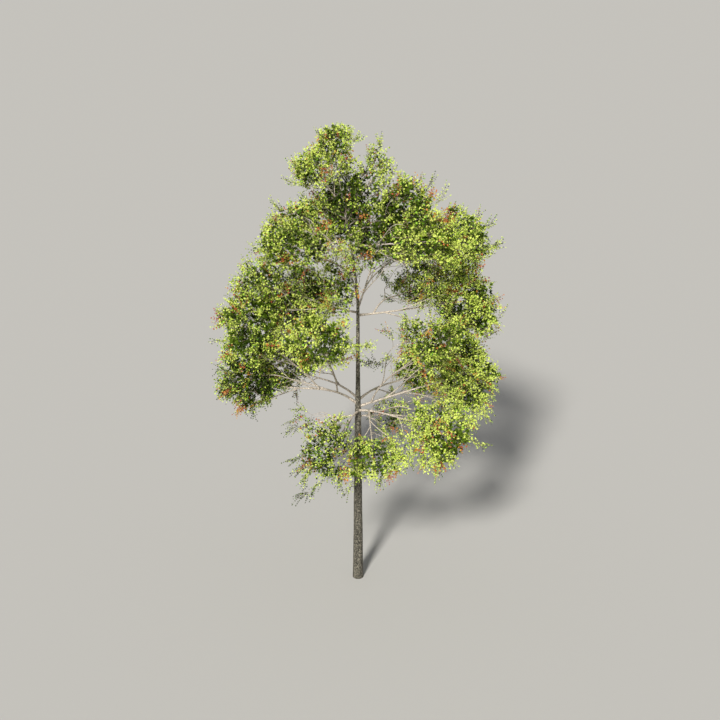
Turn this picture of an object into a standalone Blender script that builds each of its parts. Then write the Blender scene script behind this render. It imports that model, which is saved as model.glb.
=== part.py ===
"""A maple tree about 14 m tall, with its trunk's foot at the origin and +Z up.

The trunk runs whole from a flat cut at ground level to the top of the crown. Boughs leave it in
tiers, some fork, and each ends where it enters its own mass of foliage. A mass is one solid: a
stem that carries on from the bough's tip, twigs that branch from it by a seeded rule, and broad
sprays of leaves fused to the twigs. Azimuth 0 is +X and azimuth 90 is +Y. Sizes are in metres.
"""

import math
from collections import namedtuple

import bmesh
import bpy
import numpy as np
from mathutils import Matrix

# Trunk
TREE_HEIGHT = 14.0
TRUNK_TOP = 12.6  # the leader ends inside the topmost mass
TRUNK_RADIUS = 0.158
TRUNK_TIP_RADIUS = 0.018
TRUNK_TAPER = 1.06  # power of the height still above a point
TRUNK_STEP = 0.2  # share of its radius that it loses where the lowest boughs leave it
TRUNK_STEP_FROM = 5.5
TRUNK_STEP_TO = 6.5
FOOT_FLARE = 0.008  # extra radius at the ground
FOOT_FLARE_HEIGHT = 0.2
LEAN_FROM = 9.0  # the trunk is upright to here
LEAN = 0.82  # how far the leader would lean towards -X at the tree's full height
LEAN_POWER = 1.3
TRUNK_STATIONS = 16
TRUNK_SPACING = 1.2  # power that brings stations closer at the foot
TRUNK_SIDES = 12

# Boughs
BOUGH_STATIONS = 8
BOUGH_SIDES = 6
BOUGH_TIP_RADIUS = 0.018
COLLAR = 0.35  # a bough is this share thicker where it joins
COLLAR_LENGTH = 0.12
BOUGH_SPRING = 0.42  # how far a bough keeps its first direction, as a share of its span
BOUGH_AIM = 0.3  # how far it already points at its mass before it gets there
ENTRY = 0.86  # where the bough ends, as a share of the mass's radius
JOINT_GAP = 0.0003  # limbs and stems meet this far clear

# Foliage
STEM_STRAIGHT = 0.06  # the stem starts square to its bough's tip
STEM_SPRING = 0.35
STEM_REACH = 0.35  # how far past the middle the stem runs, as a share of the mass's radius
STEM_SPREAD = 0.5  # how far it turns from its own line towards the crown's outside
STEM_STATIONS = 5
STEM_SIDES = 4
STEM_ROOT = 0.95  # its radius at its root, as a share of the bough's tip
STEM_TIP_RADIUS = 0.014
BUDS = 6.45  # twig ends tried in a mass of one metre's radius
BUD_DEPTH = (0.4, 0.7)  # shares of the radius between which the twigs end
BALANCE = 0.5  # weight of the way back to the bough when a twig picks what to grow from
FORK = 0.48  # where a twig grows from another, as a share of that one's length
FORK_RADIUS = 0.5  # a twig's radius at its root, as a share of what it grows from
TWIG_TAPER = 0.7  # its radius at its tip, as a share of that
TWIG_ROOT = 0.15  # share of a twig that may touch what it grows from
SPRAY_LENGTH = 0.68
SPRAY_WIDTH = 0.66  # share of the length
SPRAY_THICKNESS = 0.035  # share of the length
SPRAY_WIDEST = 0.45  # share of the length at which it is widest and thickest
SPRAY_ROOT = 0.2  # share of the length that may touch its twig
SPRAY_SUNK = 0.5  # how far past the twig's axis its root lies, as a share of the twig's radius
SPRAY_SIZES = (1.25, 1.1, 0.95, 0.8, 0.65)  # tried in turn, until one fits
SPRAY_PLACES = ((0.84, 32), (0.66, 44), (0.3, 55))  # shares of a twig, with the lean in degrees
SPRAY_GAP = 0.05  # left free between sprays
SPACE_GAP = 0.07  # share of a radius left free between neighbouring masses
LIMB_GAP = 0.02  # left free between foliage and a limb
LIMB_STEP = 0.02  # spacing of the points that stand for a limb's axis
SPREAD_RATIO = 1.2207440846  # its powers spread points evenly in three directions
GOLDEN_ANGLE = math.pi * (3 - math.sqrt(5))

Mass = namedtuple("Mass", "azimuth reach height outward across upward")
Bough = namedtuple("Bough", "parent at leaves radius mass")
Limb = namedtuple("Limb", "points radii")
Twig = namedtuple("Twig", "start end radius")

# Each bough: what it grows from, where on it (metres up the trunk, or a share along a bough), the
# degrees above level at which it leaves, its radius there, and the mass at its end. Each mass: the
# azimuth, reach from the trunk's foot and height of its middle, and its three radii.
CROWN = {
    "low_left": Bough("trunk", 5.86, 46, 0.036, Mass(186, 3.18, 6.78, 1.12, 1.5, 0.9)),
    "low_far_left": Bough("trunk", 5.5, -5, 0.018, Mass(160, 1.48, 5.03, 0.85, 0.6, 0.45)),
    "low_front_left": Bough("trunk", 5.62, 12, 0.03, Mass(250, 2.55, 5.36, 1.22, 0.8, 1.02)),
    "low_front_right": Bough("trunk", 5.66, 18, 0.034, Mass(315, 3.15, 6.12, 1.2, 1.34, 1.12)),
    "low_front": Bough("low_front_right", 0.22, -15, 0.024, Mass(279, 2.75, 5.41, 1.15, 1.22, 0.66)),
    "low_inner": Bough("trunk", 5.42, 24, 0.02, Mass(34, 1.1, 5.3, 0.6, 0.55, 0.75)),
    "low_right": Bough("trunk", 5.78, 16, 0.034, Mass(7, 3.27, 6.7, 1.05, 1.5, 1.4)),
    "low_back_right": Bough("trunk", 5.98, 18, 0.034, Mass(49, 3.15, 6.1, 1.25, 1.35, 1.22)),
    "low_back_left": Bough("trunk", 6.04, 24, 0.032, Mass(135, 3.3, 6.3, 1.25, 1.4, 1.0)),
    "mid_left": Bough("low_left", 0.52, 55, 0.024, Mass(193, 3.06, 8.45, 1.05, 1.5, 1.0)),
    "mid_front_left": Bough("low_left", 0.3, 72, 0.022, Mass(245, 2.35, 8.5, 1.25, 1.12, 0.82)),
    "mid_back_left": Bough("low_back_left", 0.4, 62, 0.024, Mass(128, 3.3, 7.95, 1.3, 1.35, 1.0)),
    "up_left": Bough("trunk", 8.68, 6, 0.028, Mass(174, 2.72, 9.42, 1.1, 1.45, 0.93)),
    "mid_left_inner": Bough("up_left", 0.2, 20, 0.018, Mass(156, 1.7, 9.15, 1.1, 1.2, 0.85)),
    "mid_inner": Bough("trunk", 9.2, 35, 0.018, Mass(242, 1.0, 9.72, 0.9, 0.68, 1.13)),
    "mid_right": Bough("trunk", 8.6, 4, 0.03, Mass(5, 3.12, 8.93, 1.12, 1.55, 1.24)),
    "mid_front_right": Bough("low_right", 0.16, 64, 0.024, Mass(316, 2.65, 8.4, 1.18, 1.12, 0.95)),
    "mid_back_right": Bough("mid_right", 0.2, 40, 0.022, Mass(52, 3.2, 8.9, 1.28, 1.25, 1.0)),
    "up_inner": Bough("trunk", 8.78, 72, 0.026, Mass(352, 0.62, 10.78, 1.0, 1.0, 0.82)),
    "up_back_right": Bough("up_inner", 0.2, 66, 0.02, Mass(54, 2.6, 10.4, 1.25, 1.3, 0.95)),
    "up_back_left": Bough("trunk", 9.25, 38, 0.026, Mass(112, 2.3, 10.9, 1.25, 1.35, 0.95)),
    "up_front_left": Bough("trunk", 9.7, 42, 0.024, Mass(228, 2.25, 11.05, 1.18, 1.2, 0.67)),
    "up_far_left": Bough("trunk", 10.2, 35, 0.02, Mass(169, 2.02, 11.05, 0.85, 1.3, 0.72)),
    "up_front_right": Bough("trunk", 10.6, 12, 0.022, Mass(317, 2.5, 11.15, 1.25, 1.15, 0.9)),
    "up_right": Bough("trunk", 10.4, 8, 0.022, Mass(4, 2.9, 10.75, 1.0, 1.5, 1.0)),
    "top_right": Bough("trunk", 10.9, 30, 0.02, Mass(8, 1.35, 11.75, 1.05, 1.3, 0.93)),
    "top_inner": Bough("trunk", 11.1, 45, 0.018, Mass(140, 0.5, 11.85, 1.05, 0.98, 0.8)),
    "top_middle": Bough("trunk", 11.5, 55, 0.016, Mass(20, 0.55, 12.62, 0.55, 0.6, 0.84)),
    "top_far_left": Bough("trunk", 11.75, 30, 0.016, Mass(166, 1.24, 12.65, 0.72, 0.9, 0.7)),
    "top_left": Bough("trunk", None, None, None, Mass(189, 0.62, 13.3, 0.6, 0.76, 0.82)),
}

# Name, colour and roughness
BARK = ("bark", (0.23, 0.19, 0.15), 0.9)
BOUGH_BARK = ("bough bark", (0.42, 0.36, 0.31), 0.85)
LEAF = ("leaf", (0.3, 0.42, 0.07), 0.6)


# Directions and curves


def unit(vector):
    return vector / np.linalg.norm(vector)


def heading(azimuth, pitch=0.0):
    """The direction at this azimuth and pitch, in degrees."""
    turn, rise = math.radians(azimuth), math.radians(pitch)
    flat = math.cos(rise)
    return np.array([flat * math.cos(turn), flat * math.sin(turn), math.sin(rise)])


def frame_along(direction, near_z, place):
    """The matrix that puts local X along direction and local Z near near_z, at place."""
    x = unit(direction)
    z = unit(near_z - x * (near_z @ x))
    y = np.cross(z, x)
    matrix = np.eye(4)
    matrix[:3] = np.stack([x, y, z, place], axis=1)
    return matrix


def bezier(start, first, second, end, count):
    t = np.linspace(0, 1, count)[:, None]
    return (1 - t) ** 3 * start + 3 * (1 - t) ** 2 * t * first + 3 * (1 - t) * t**2 * second + t**3 * end


def step_lengths(points):
    return np.linalg.norm(np.diff(points, axis=0), axis=1)


def along(limb, shares):
    """The points and radii at these shares of a limb's length."""
    lengths = np.concatenate([[0], np.cumsum(step_lengths(limb.points))])
    at = np.asarray(shares) * lengths[-1]
    places = np.stack([np.interp(at, lengths, column) for column in limb.points.T], axis=-1)
    return places, np.interp(at, lengths, limb.radii)


# Spaces of the masses


class Space:
    """The ellipsoid that a mass of foliage fills, less what lies nearer to a neighbour's middle."""

    def __init__(self, mass):
        outward = heading(mass.azimuth)
        across = np.array([-outward[1], outward[0], 0.0])
        self.middle = outward * mass.reach + np.array([0, 0, mass.height])
        self.axes = np.stack([outward, across, [0, 0, 1]])
        self.radii = np.array([mass.outward, mass.across, mass.upward])

    def depth(self, points):
        """0 at the middle and 1 on the skin."""
        return np.linalg.norm((points - self.middle) @ self.axes.T / self.radii, axis=-1)

    def place(self, direction, share):
        """The point at this share of the way from the middle to the skin."""
        return self.middle + direction * share / self.depth(self.middle + direction)

    def holds(self, points, spaces):
        own = self.depth(points)
        others = [space for space in spaces if space is not self]
        return own.max() < 1 and all((space.depth(points) > own + SPACE_GAP).all() for space in others)


# Limbs


def trunk_centre(height):
    lean = max(0.0, height - LEAN_FROM) / (TREE_HEIGHT - LEAN_FROM)
    return np.array([-LEAN * lean**LEAN_POWER, 0.0, height])


def trunk_radius(height):
    taper = TRUNK_RADIUS * (1 - height / TREE_HEIGHT) ** TRUNK_TAPER
    above = (height - TRUNK_STEP_FROM) / (TRUNK_STEP_TO - TRUNK_STEP_FROM)
    taper *= 1 - TRUNK_STEP * min(1.0, max(0.0, above))
    flare = FOOT_FLARE * math.exp(-height / FOOT_FLARE_HEIGHT)
    return max(TRUNK_TIP_RADIUS, taper) + flare


def trunk_limb():
    heights = TRUNK_TOP * np.linspace(0, 1, TRUNK_STATIONS) ** TRUNK_SPACING
    points = np.array([trunk_centre(height) for height in heights])
    return Limb(points, np.array([trunk_radius(height) for height in heights]))


def bough_limb(bough, parent, space):
    """A bough that springs from its parent at its own pitch and arches over to its mass."""
    root = trunk_centre(bough.at) if bough.parent == "trunk" else along(parent, bough.at)[0]
    across, outward, _ = space.middle - root
    entry = space.place(root - space.middle, ENTRY)
    span = np.linalg.norm(entry - root)
    spring = root + heading(math.degrees(math.atan2(outward, across)), bough.leaves) * span * BOUGH_SPRING
    aim = entry - unit(space.middle - entry) * span * BOUGH_AIM
    share = np.linspace(0, 1, BOUGH_STATIONS)
    radii = bough.radius + (BOUGH_TIP_RADIUS - bough.radius) * share
    collar = 1 + COLLAR * np.exp(-share * span / COLLAR_LENGTH)
    return Limb(bezier(root, spring, aim, entry, BOUGH_STATIONS), radii * collar)


def all_limbs(spaces):
    limbs = {"trunk": trunk_limb()}
    for name, bough in CROWN.items():
        if bough.at is not None:
            limbs[name] = bough_limb(bough, limbs[bough.parent], spaces[name])
    return limbs


def curve_tube(name, limb, sides):
    """A tube along a limb, closed at both ends, as a mesh object."""
    curve = bpy.data.curves.new(name, "CURVE")
    curve.dimensions = "3D"
    curve.bevel_depth = 1.0  # each point's radius is then in metres
    curve.bevel_resolution = (sides - 4) // 2
    curve.use_fill_caps = True
    spline = curve.splines.new("POLY")
    spline.points.add(len(limb.points) - 1)
    for station, place, radius in zip(spline.points, limb.points, limb.radii):
        station.co = (*place, 1)
        station.radius = radius
    guide = bpy.data.objects.new(name + " curve", curve)
    bpy.context.scene.collection.objects.link(guide)
    mesh = evaluated_mesh(guide)
    tube = bpy.data.objects.new(name, mesh)
    tube.matrix_world = guide.matrix_world
    bpy.data.objects.remove(guide)
    shape = bmesh.new()
    shape.from_mesh(mesh)
    bmesh.ops.remove_doubles(shape, verts=shape.verts, dist=1e-5)
    shape.to_mesh(mesh)
    shape.free()
    return tube


def make_limbs(limbs, tree, cutters):
    """The trunk and boughs, each bough cut by a slightly larger copy of its parent."""
    cuts = {}
    for name in sorted({bough.parent for bough in CROWN.values()}):
        limb = limbs[name]
        sides = TRUNK_SIDES if name == "trunk" else BOUGH_SIDES
        cutter = curve_tube(name + " cutter", Limb(limb.points, limb.radii + JOINT_GAP), sides)
        cutter.hide_render = True
        cutter.display_type = "WIRE"
        cutters.objects.link(cutter)
        cuts[name] = cutter
    for name, limb in limbs.items():
        if name == "trunk":
            made = curve_tube("trunk", limb, TRUNK_SIDES)
            tree.objects.link(made)
            finish(made, BARK)
        else:
            made = curve_tube("bough_" + name, limb, BOUGH_SIDES)
            tree.objects.link(made)
            cut_by(made, cuts[CROWN[name].parent])
            finish(made, BOUGH_BARK)
        made.data.shade_smooth()


# Foliage


def limb_samples(limbs):
    """Close points along every limb's axis, and the radius at each."""
    places, radii = [], []
    for limb in limbs.values():
        count = math.ceil(step_lengths(limb.points).sum() / LIMB_STEP)
        spots, sizes = along(limb, np.linspace(0, 1, count))
        places.append(spots)
        radii.append(sizes)
    return Limb(np.concatenate(places), np.concatenate(radii))


def near_space(samples, space):
    """The samples that lie in or close to this space."""
    close = np.linalg.norm(samples.points - space.middle, axis=1) < space.radii.max() * 1.2
    return Limb(samples.points[close], samples.radii[close])


def clear_of_limbs(points, samples):
    gaps = np.linalg.norm(points[:, None] - samples.points[None], axis=2) - samples.radii
    return gaps.min(initial=1.0) > LIMB_GAP


def bud_places(space, seed):
    """Points spread evenly through a shell of the space, where twigs may end."""
    count = round(BUDS * np.prod(space.radii) ** (2 / 3))
    even_steps = SPREAD_RATIO ** -np.arange(1.0, 4.0)
    shares = (np.outer(np.arange(1, count + 1), even_steps) + seed * GOLDEN_ANGLE) % 1
    inner, outer = (depth**3 for depth in BUD_DEPTH)
    depths = np.cbrt(inner + (outer - inner) * shares[:, 0])
    rises = 2 * shares[:, 1] - 1
    turns = 2 * math.pi * shares[:, 2]
    flat = np.sqrt(1 - rises**2)
    ball = np.stack([flat * np.cos(turns), flat * np.sin(turns), rises], axis=1)
    return space.middle + (ball * depths[:, None] * space.radii) @ space.axes


def stem_limb(limb, space):
    """The stem: it leaves the limb's tip straight on, then bends out through the middle."""
    tip = limb.points[-1]
    ahead = unit(tip - limb.points[-2])
    root = tip + ahead * JOINT_GAP
    start = root + ahead * STEM_STRAIGHT
    end = space.place(unit(space.middle - root) + space.axes[0] * STEM_SPREAD, STEM_REACH)
    spring = start + ahead * np.linalg.norm(end - start) * STEM_SPRING
    points = np.vstack([root, bezier(start, spring, space.middle, end, STEM_STATIONS)])
    return Limb(points, np.linspace(limb.radii[-1] * STEM_ROOT, STEM_TIP_RADIUS, len(points)))


def radius_at(twig, share):
    return twig.radius * (1 + (TWIG_TAPER - 1) * share)


def twig_points(twig):
    """Points along a twig, from just past its root to its end."""
    return twig.start + (twig.end - twig.start) * np.linspace(TWIG_ROOT, 1, 16)[:, None]


def twig_tree(stem, buds, fits):
    """Joins each bud, nearest first, to the place with the shortest way back, where a twig fits."""
    nodes = list((stem.points[1:-1] + stem.points[2:]) / 2)
    radii = list((stem.radii[1:-1] + stem.radii[2:]) / 2)
    ways = list(np.cumsum(step_lengths(stem.points))[1:])
    twigs = []
    for bud in sorted(buds, key=lambda place: np.linalg.norm(place - stem.points[0])):
        gaps = np.linalg.norm(np.array(nodes) - bud, axis=1)
        best = int(np.argmin(gaps + BALANCE * np.array(ways)))
        twig = Twig(nodes[best], bud, radii[best] * FORK_RADIUS)
        if fits(twig_points(twig)):
            twigs.append(twig)
            nodes.append(twig.start + (bud - twig.start) * FORK)
            radii.append(radius_at(twig, FORK))
            ways.append(ways[best] + gaps[best] * FORK)
    return twigs


def twig_frame(twig, roll):
    """The frame of a twig, X along it and Z through the middle of one of its three sides."""
    ahead = twig.end - twig.start
    level = unit(np.cross(ahead, [0, 0, 1]))
    up = unit(np.cross(level, ahead))
    return frame_along(ahead, level * math.cos(roll) + up * math.sin(roll), twig.start)


def spray_frame(twig, frame, share, lean, side, size):
    """A spray's frame: its root is sunk past the twig's axis, and it leans out through one side."""
    turn = side * 2 * math.pi / 3
    tilt = math.radians(lean)
    ahead = frame[:3, 0]
    out = frame[:3, 2] * math.cos(turn) + frame[:3, 1] * math.sin(turn)
    direction = ahead * math.cos(tilt) + out * math.sin(tilt)
    root = twig.start + (twig.end - twig.start) * share - direction * radius_at(twig, share) * SPRAY_SUNK
    placed = frame_along(direction, np.cross(ahead, out), root)
    placed[:3, :3] *= SPRAY_LENGTH * size
    return placed


def spray_outline():
    """Points all over a spray of unit length, but for its root."""
    places = []
    for x in np.linspace(SPRAY_ROOT, 1, 11):
        half = SPRAY_WIDTH / 2 * min(x / SPRAY_WIDEST, (1 - x) / (1 - SPRAY_WIDEST))
        places += [(x, half * across, 0) for across in np.linspace(-1, 1, 7)]
    return np.array(places)


def grow_sprays(twigs, frames, stem, fits):
    """The frames of the sprays on these twigs: each as large as fits, clear of all the others."""
    outline = spray_outline()
    wood = [twig_points(twig) for twig in twigs]
    placed, shapes = [], [stem.points]
    for index, twig in enumerate(twigs):
        others = wood[:index] + wood[index + 1 :]
        sides = [0, 1, 2]
        for share, lean in SPRAY_PLACES:
            near = np.concatenate(others + shapes)
            for size, side in [(size, side) for size in SPRAY_SIZES for side in sides]:
                frame = spray_frame(twig, frames[index], share, lean, side, size)
                shape = outline @ frame[:3, :3].T + frame[:3, 3]
                gap = np.linalg.norm(shape[:, None] - near[None], axis=2).min()
                if gap > SPRAY_GAP and fits(shape):
                    placed.append(frame)
                    shapes.append(shape)
                    sides.remove(side)
                    break
    return placed


def twig_piece(twig, frame, name):
    """A three-sided tapering twig with one side facing the frame's Z."""
    length = np.linalg.norm(twig.end - twig.start)
    root, tip = twig.radius, radius_at(twig, 1)
    shape = bmesh.new()
    bmesh.ops.create_cone(shape, cap_ends=True, segments=3, radius1=root, radius2=tip, depth=length)
    shape.transform(Matrix.Rotation(math.pi / 2, 4, "Y"))
    shape.transform(Matrix.Rotation(-math.pi / 2, 4, "X"))
    shape.transform(Matrix.Translation((length / 2, 0, 0)))
    shape.transform(Matrix(frame))
    return mesh_object(shape, name)


def spray_piece(frame, name):
    """A spray of leaves as one kite-shaped blade of eight faces, thickest along its rib."""
    shape = bmesh.new()
    bmesh.ops.create_uvsphere(shape, u_segments=4, v_segments=2, radius=1)
    for vertex in shape.verts:
        x, y, z = vertex.co
        forward = SPRAY_WIDEST if abs(x) < 0.5 else (x + 1) / 2
        vertex.co = (forward, y * SPRAY_WIDTH / 2, z * SPRAY_THICKNESS / 2)
    shape.transform(Matrix(frame))
    return mesh_object(shape, name)


def make_mass(name, seed, limbs, spaces, samples, tree, growth):
    """One mass of foliage: stem, twigs and sprays, fused into one solid."""
    space = spaces[name]
    near = near_space(samples, space)

    def fits(points):
        return space.holds(points, spaces.values()) and clear_of_limbs(points, near)

    stem = stem_limb(limbs[name] if name in limbs else limbs["trunk"], space)
    twigs = twig_tree(stem, bud_places(space, seed), fits)
    frames = [twig_frame(twig, index * GOLDEN_ANGLE) for index, twig in enumerate(twigs)]
    for index, twig in enumerate(twigs):
        growth.objects.link(twig_piece(twig, frames[index], f"twig {index}"))
    for index, frame in enumerate(grow_sprays(twigs, frames, stem, fits)):
        growth.objects.link(spray_piece(frame, f"spray {index}"))
    made = curve_tube("foliage_" + name, stem, STEM_SIDES)
    tree.objects.link(made)
    fuse_with(made, growth)
    finish(made, LEAF)


# Joining, cutting and finishing


def evaluated_mesh(obj):
    bpy.context.view_layer.update()
    graph = bpy.context.evaluated_depsgraph_get()
    return bpy.data.meshes.new_from_object(obj.evaluated_get(graph))


def mesh_object(shape, name):
    mesh = bpy.data.meshes.new(name)
    shape.to_mesh(mesh)
    shape.free()
    return bpy.data.objects.new(name, mesh)


def cut_by(obj, cutter):
    cut = obj.modifiers.new("cut", "BOOLEAN")
    cut.operation = "DIFFERENCE"
    cut.solver = "EXACT"
    cut.object = cutter
    keep_largest(obj)


def fuse_with(obj, growth):
    """Joins all of the growth collection to this object, and empties the collection."""
    union = obj.modifiers.new("union", "BOOLEAN")
    union.operation = "UNION"
    union.solver = "EXACT"
    union.operand_type = "COLLECTION"
    union.collection = growth
    keep_largest(obj)
    for piece in list(growth.objects):
        bpy.data.objects.remove(piece)


def bodies_of(shape):
    """The sets of joined vertices, largest first."""
    unseen, bodies = set(shape.verts), []
    while unseen:
        front = [unseen.pop()]
        body = []
        while front:
            vertex = front.pop()
            body.append(vertex)
            joined = {edge.other_vert(vertex) for edge in vertex.link_edges} & unseen
            unseen -= joined
            front += joined
        bodies.append(body)
    return sorted(bodies, key=len, reverse=True)


def keep_largest(obj):
    """Applies the object's modifier, and drops loose scraps and sealed hollows."""
    mesh = evaluated_mesh(obj)
    obj.modifiers.clear()
    obj.data = mesh
    shape = bmesh.new()
    shape.from_mesh(mesh)
    bmesh.ops.triangulate(shape, faces=shape.faces)
    for body in bodies_of(shape)[1:]:
        bmesh.ops.delete(shape, geom=body, context="VERTS")
    shape.to_mesh(mesh)
    shape.free()


def finish(obj, kind):
    """Gives the object its own Principled material."""
    name, colour, roughness = kind
    made = bpy.data.materials.get(name) or bpy.data.materials.new(name)
    made.use_nodes = True
    made.diffuse_color = (*colour, 1)
    shader = made.node_tree.nodes["Principled BSDF"]
    shader.inputs["Base Color"].default_value = (*colour, 1)
    shader.inputs["Roughness"].default_value = roughness
    shader.inputs["Metallic"].default_value = 0
    obj.data.materials.clear()
    obj.data.materials.append(made)


def new_collection(name):
    made = bpy.data.collections.new(name)
    bpy.context.scene.collection.children.link(made)
    return made


def main():
    for obj in list(bpy.data.objects):
        bpy.data.objects.remove(obj)
    tree = new_collection("maple tree")
    cutters = new_collection("cutters")
    cutters.hide_render = True
    growth = new_collection("growth")
    spaces = {name: Space(bough.mass) for name, bough in CROWN.items()}
    limbs = all_limbs(spaces)
    make_limbs(limbs, tree, cutters)
    samples = limb_samples(limbs)
    for seed, name in enumerate(CROWN):
        make_mass(name, seed, limbs, spaces, samples, tree, growth)
    bpy.data.collections.remove(growth)


main()
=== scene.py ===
import math

import bpy
import numpy as np
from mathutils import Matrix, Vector, noise


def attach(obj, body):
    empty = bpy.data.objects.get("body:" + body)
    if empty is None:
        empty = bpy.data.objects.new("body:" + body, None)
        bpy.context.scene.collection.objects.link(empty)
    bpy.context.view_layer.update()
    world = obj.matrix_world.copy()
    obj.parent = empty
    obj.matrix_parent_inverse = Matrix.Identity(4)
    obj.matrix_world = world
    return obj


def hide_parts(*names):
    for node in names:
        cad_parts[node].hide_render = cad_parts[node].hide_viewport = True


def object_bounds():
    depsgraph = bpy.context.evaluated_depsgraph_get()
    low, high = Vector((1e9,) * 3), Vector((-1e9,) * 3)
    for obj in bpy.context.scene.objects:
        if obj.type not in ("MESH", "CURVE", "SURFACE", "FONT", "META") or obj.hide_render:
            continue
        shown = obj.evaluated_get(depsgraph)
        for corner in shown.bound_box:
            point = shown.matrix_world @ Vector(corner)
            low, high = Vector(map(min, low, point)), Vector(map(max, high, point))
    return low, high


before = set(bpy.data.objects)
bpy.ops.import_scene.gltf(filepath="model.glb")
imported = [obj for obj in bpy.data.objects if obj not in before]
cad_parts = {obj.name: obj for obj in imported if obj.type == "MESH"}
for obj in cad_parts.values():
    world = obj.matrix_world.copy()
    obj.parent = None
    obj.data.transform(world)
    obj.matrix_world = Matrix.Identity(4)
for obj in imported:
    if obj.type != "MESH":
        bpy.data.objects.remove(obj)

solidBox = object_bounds()
dice = np.random.default_rng(11)
goldenAngle = math.pi * (3 - math.sqrt(5))
print("frame loaded,", len(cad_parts), "solids")


# small helpers for directions and curves

def unit(vectors):
    return vectors / np.linalg.norm(vectors, axis=-1, keepdims=True)


def heading(azimuth, pitch=0.0):
    turn, rise = math.radians(azimuth), math.radians(pitch)
    return np.array([math.cos(rise) * math.cos(turn), math.cos(rise) * math.sin(turn), math.sin(rise)])


def bezier(start, first, second, end, count):
    t = np.linspace(0, 1, count)[:, None]
    return (1 - t) ** 3 * start + 3 * (1 - t) ** 2 * t * first + 3 * (1 - t) * t**2 * second + t**3 * end


def stepLengths(points):
    return np.linalg.norm(np.diff(points, axis=0), axis=1)


def along(limb, shares):
    points, radii = limb
    lengths = np.concatenate([[0], np.cumsum(stepLengths(points))])
    at = np.asarray(shares) * lengths[-1]
    places = np.stack([np.interp(at, lengths, column) for column in points.T], axis=-1)
    return places, np.interp(at, lengths, radii)


# the trunk and the crown's plan: the same sizes as the solids

trunk = {
    "height": 14.0, "top": 12.6,  # the leader ends inside the topmost mass
    "radius": 0.158, "tipRadius": 0.018, "taper": 1.06,
    "step": 0.2, "stepFrom": 5.5, "stepTo": 6.5,  # slimmer above the lowest boughs
    "flare": 0.008, "flareHeight": 0.2,
    "leanFrom": 9.0, "lean": 0.82, "leanPower": 1.3,
    "stations": 60,  # of the line that the limbs spring from
    "ringSpacing": 0.036, "sides": 36,
}

bough = {
    "tipRadius": 0.018, "collar": 0.35, "collarLength": 0.12,
    "spring": 0.42, "aim": 0.3, "entry": 0.86,
    "stemStraight": 0.06, "stemSpring": 0.35, "stemReach": 0.35, "stemSpread": 0.5,
    "stemTipRadius": 0.011,
    "stations": 8, "stemStations": 7,  # of the plan's curves
    "ringSpacing": 0.06, "sides": 9,
}

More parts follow.
